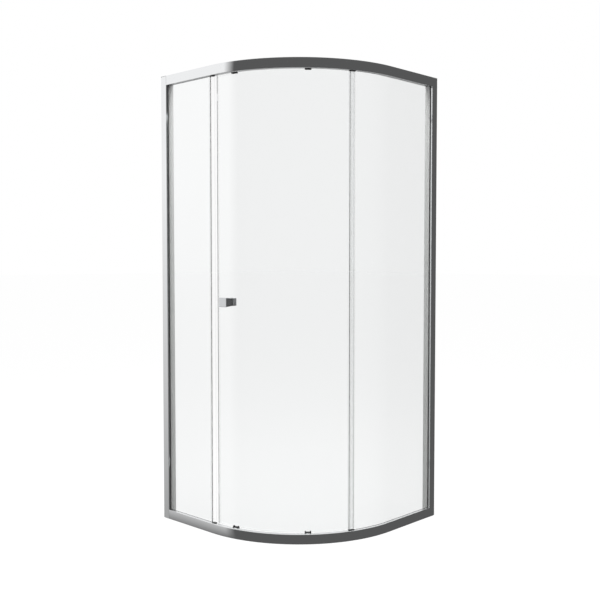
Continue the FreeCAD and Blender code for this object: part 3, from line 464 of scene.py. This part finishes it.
def make_lamps():
    """Soft lamps; they don't show in the metal, which mirrors the studio wall."""
    # name, place and width in metres, share of the key lamp's power
    lamps = (
        ("key_lamp", (1.2, -3.4, 4.2), 3.2, 1.0),
        ("fill_lamp", (3.6, 1.6, 3.6), 3.2, 0.5),
        ("top_lamp", (0.35, -0.35, 2.6), 0.6, 0.42),
    )
    middle = Vector((0, 0, 0.9))
    for name, place, width, share in lamps:
        data = bpy.data.lights.new(name, "AREA")
        data.size = width
        data.energy = chosen().lamp_power * share
        lamp = bpy.data.objects.new(name, data)
        lamp.location = place
        aim = middle - Vector(place)
        lamp.rotation_euler = aim.to_track_quat("-Z", "Y").to_euler()
        lamp.visible_camera = False
        lamp.visible_glossy = False
        lamp.visible_transmission = False
        bpy.context.scene.collection.objects.link(lamp)


# The wall stands so far off that it looks nearly the same from every part of the object.
WALL_RADIUS = 50
WALL_REACH = 35
# middle of its dark half, in front of the curve
FRONT = math.radians(-20)


def make_wall():
    """Round studio wall that only mirrors see: it glows though it is no lamp, dark in front and fading
    up to white behind, as painted reflections for the metal and glass.
    """
    corners = ((0, 0, -WALL_REACH), (WALL_RADIUS, 0, -WALL_REACH), (WALL_RADIUS, 0, WALL_REACH))
    form = bmesh.new()
    verts = [form.verts.new(corner) for corner in corners]
    edges = [form.edges.new(pair) for pair in zip(verts, verts[1:])]
    bmesh.ops.spin(
        form, geom=verts + edges, cent=(0, 0, 0), axis=(0, 0, 1),
        angle=2 * math.pi, steps=48, use_merge=True,
    )
    wall = stage_piece("studio_wall", form)
    wall.visible_camera = False
    wall.visible_diffuse = False
    wall.visible_shadow = False
    # the wall glows though it is no lamp; its glow is painted reflection that only mirrors show
    material, tree, shader, output = new_material(
        "glowing_studio_wall", Base_Color=linear("#000000"), Specular_IOR_Level=0.0, Emission_Strength=1.0
    )
    tree.links.new(wall_shade(tree), shader.inputs["Emission Color"])
    path = add_node(tree, "ShaderNodeLightPath")
    clear = add_node(tree, "ShaderNodeBsdfTransparent")
    links = {0: mirrored_already(tree, path), 1: clear.outputs[0], 2: shader.outputs[0]}
    mixed = add_node(tree, "ShaderNodeMixShader", links=links)
    tree.links.new(mixed.outputs[0], output.inputs["Surface"])
    wall.data.materials.append(material)


def wall_shade(tree):
    """Colour of the wall's glow, painted reflections that mirrors show: plain dark grey in front;
    behind, grey below the floor that fades to white above it. Mirrors see that grey in place of the
    floor.

    The two greys and the limits are chosen to suit the tones in the photograph.
    """
    place = add_node(tree, "ShaderNodeTexCoord").outputs["Object"]
    height = add_node(tree, "ShaderNodeSeparateXYZ", links={0: place}).outputs["Z"]
    # the fade runs from 27 degrees below the horizon to 7 above it
    settings = {"From Min": -0.5 * WALL_RADIUS, "From Max": 0.12 * WALL_RADIUS}
    rise = add_node(tree, "ShaderNodeMapRange", settings, {"Value": height}).outputs[0]
    settings = {"data_type": "RGBA", MIX_A: linear("#646464"), MIX_B: WHITE}
    pale = add_node(tree, "ShaderNodeMix", settings, {MIX_FACTOR: rise}).outputs[MIX_RESULT]
    forward = (math.cos(FRONT) / WALL_RADIUS, math.sin(FRONT) / WALL_RADIUS, 0)
    settings = {"operation": "DOT_PRODUCT", 1: forward}
    ahead = add_node(tree, "ShaderNodeVectorMath", settings, {0: place}).outputs["Value"]
    # the dark half ends softly between 90 and 102 degrees from its middle
    settings = {"From Min": -0.2, "From Max": 0.0}
    front = add_node(tree, "ShaderNodeMapRange", settings, {"Value": ahead}).outputs[0]
    settings = {"data_type": "RGBA", MIX_B: linear("#5C5C5C")}
    links = {MIX_FACTOR: front, MIX_A: pale}
    return add_node(tree, "ShaderNodeMix", settings, links).outputs[MIX_RESULT]


def make_surroundings():
    """White to the eye, through glass and in mirrors, and plain for soft light."""
    world = bpy.data.worlds.new("soft_studio")
    bpy.context.scene.world = world
    world.use_nodes = True
    tree = world.node_tree
    tree.nodes.clear()
    output = add_node(tree, "ShaderNodeOutputWorld")
    path = add_node(tree, "ShaderNodeLightPath")
    plain = add_node(tree, "ShaderNodeBackground", {"Color": linear("#F2F2F2"), "Strength": 0.85})
    white = add_node(tree, "ShaderNodeBackground", {"Color": WHITE, "Strength": 1.0})
    links = {0: seen_white(tree, path), 1: plain.outputs[0], 2: white.outputs[0]}
    mixed = add_node(tree, "ShaderNodeMixShader", links=links)
    tree.links.new(mixed.outputs[0], output.inputs["Surface"])


def make_camera():
    """Camera at the photograph's viewing angle."""
    data = bpy.data.cameras.new("camera")
    data.lens = chosen().lens
    data.sensor_width = 36
    data.clip_end = 200
    camera = bpy.data.objects.new("camera", data)
    camera.location = chosen().camera_place
    camera.rotation_euler = (math.pi / 2 - chosen().camera_tilt, 0, chosen().camera_turn)
    bpy.context.scene.collection.objects.link(camera)
    bpy.context.scene.camera = camera


class EnclosurePanel(bpy.types.Panel):
    """Lists the steps that dress the enclosure"""

    bl_idname = "VIEW3D_PT_enclosure"
    bl_label = "Shower Enclosure"
    bl_space_type = "VIEW_3D"
    bl_region_type = "UI"
    bl_category = "Enclosure"

    def draw(self, context):
        column = self.layout.column()
        for name in EnclosureSettings.__annotations__:
            column.prop(chosen(), name)
        for operator in OPERATORS:
            column.operator(operator.bl_idname)


OPERATORS = (
    ProfileFinish, GlazingFinish, PaneFinish, SealFinish,
    KnobFinish, CarriageFinish, FixingFinish, StudioStage,
)
CLASSES = (EnclosureSettings, *OPERATORS, EnclosurePanel)


def register():
    for item in CLASSES:
        bpy.utils.register_class(item)
    bpy.types.Scene.enclosure = PointerProperty(type=EnclosureSettings)


def unregister():
    del bpy.types.Scene.enclosure
    for item in reversed(CLASSES):
        bpy.utils.unregister_class(item)


def main():
    register()
    bpy.context.scene.view_settings.view_transform = "Standard"
    bpy.ops.enclosure.profile_finish()
    bpy.ops.enclosure.glazing_finish()
    bpy.ops.enclosure.pane_finish()
    bpy.ops.enclosure.seal_finish()
    bpy.ops.enclosure.knob_finish()
    bpy.ops.enclosure.carriage_finish()
    bpy.ops.enclosure.fixing_finish()
    bpy.ops.enclosure.studio_stage()


if __name__ == "__main__":
    main()
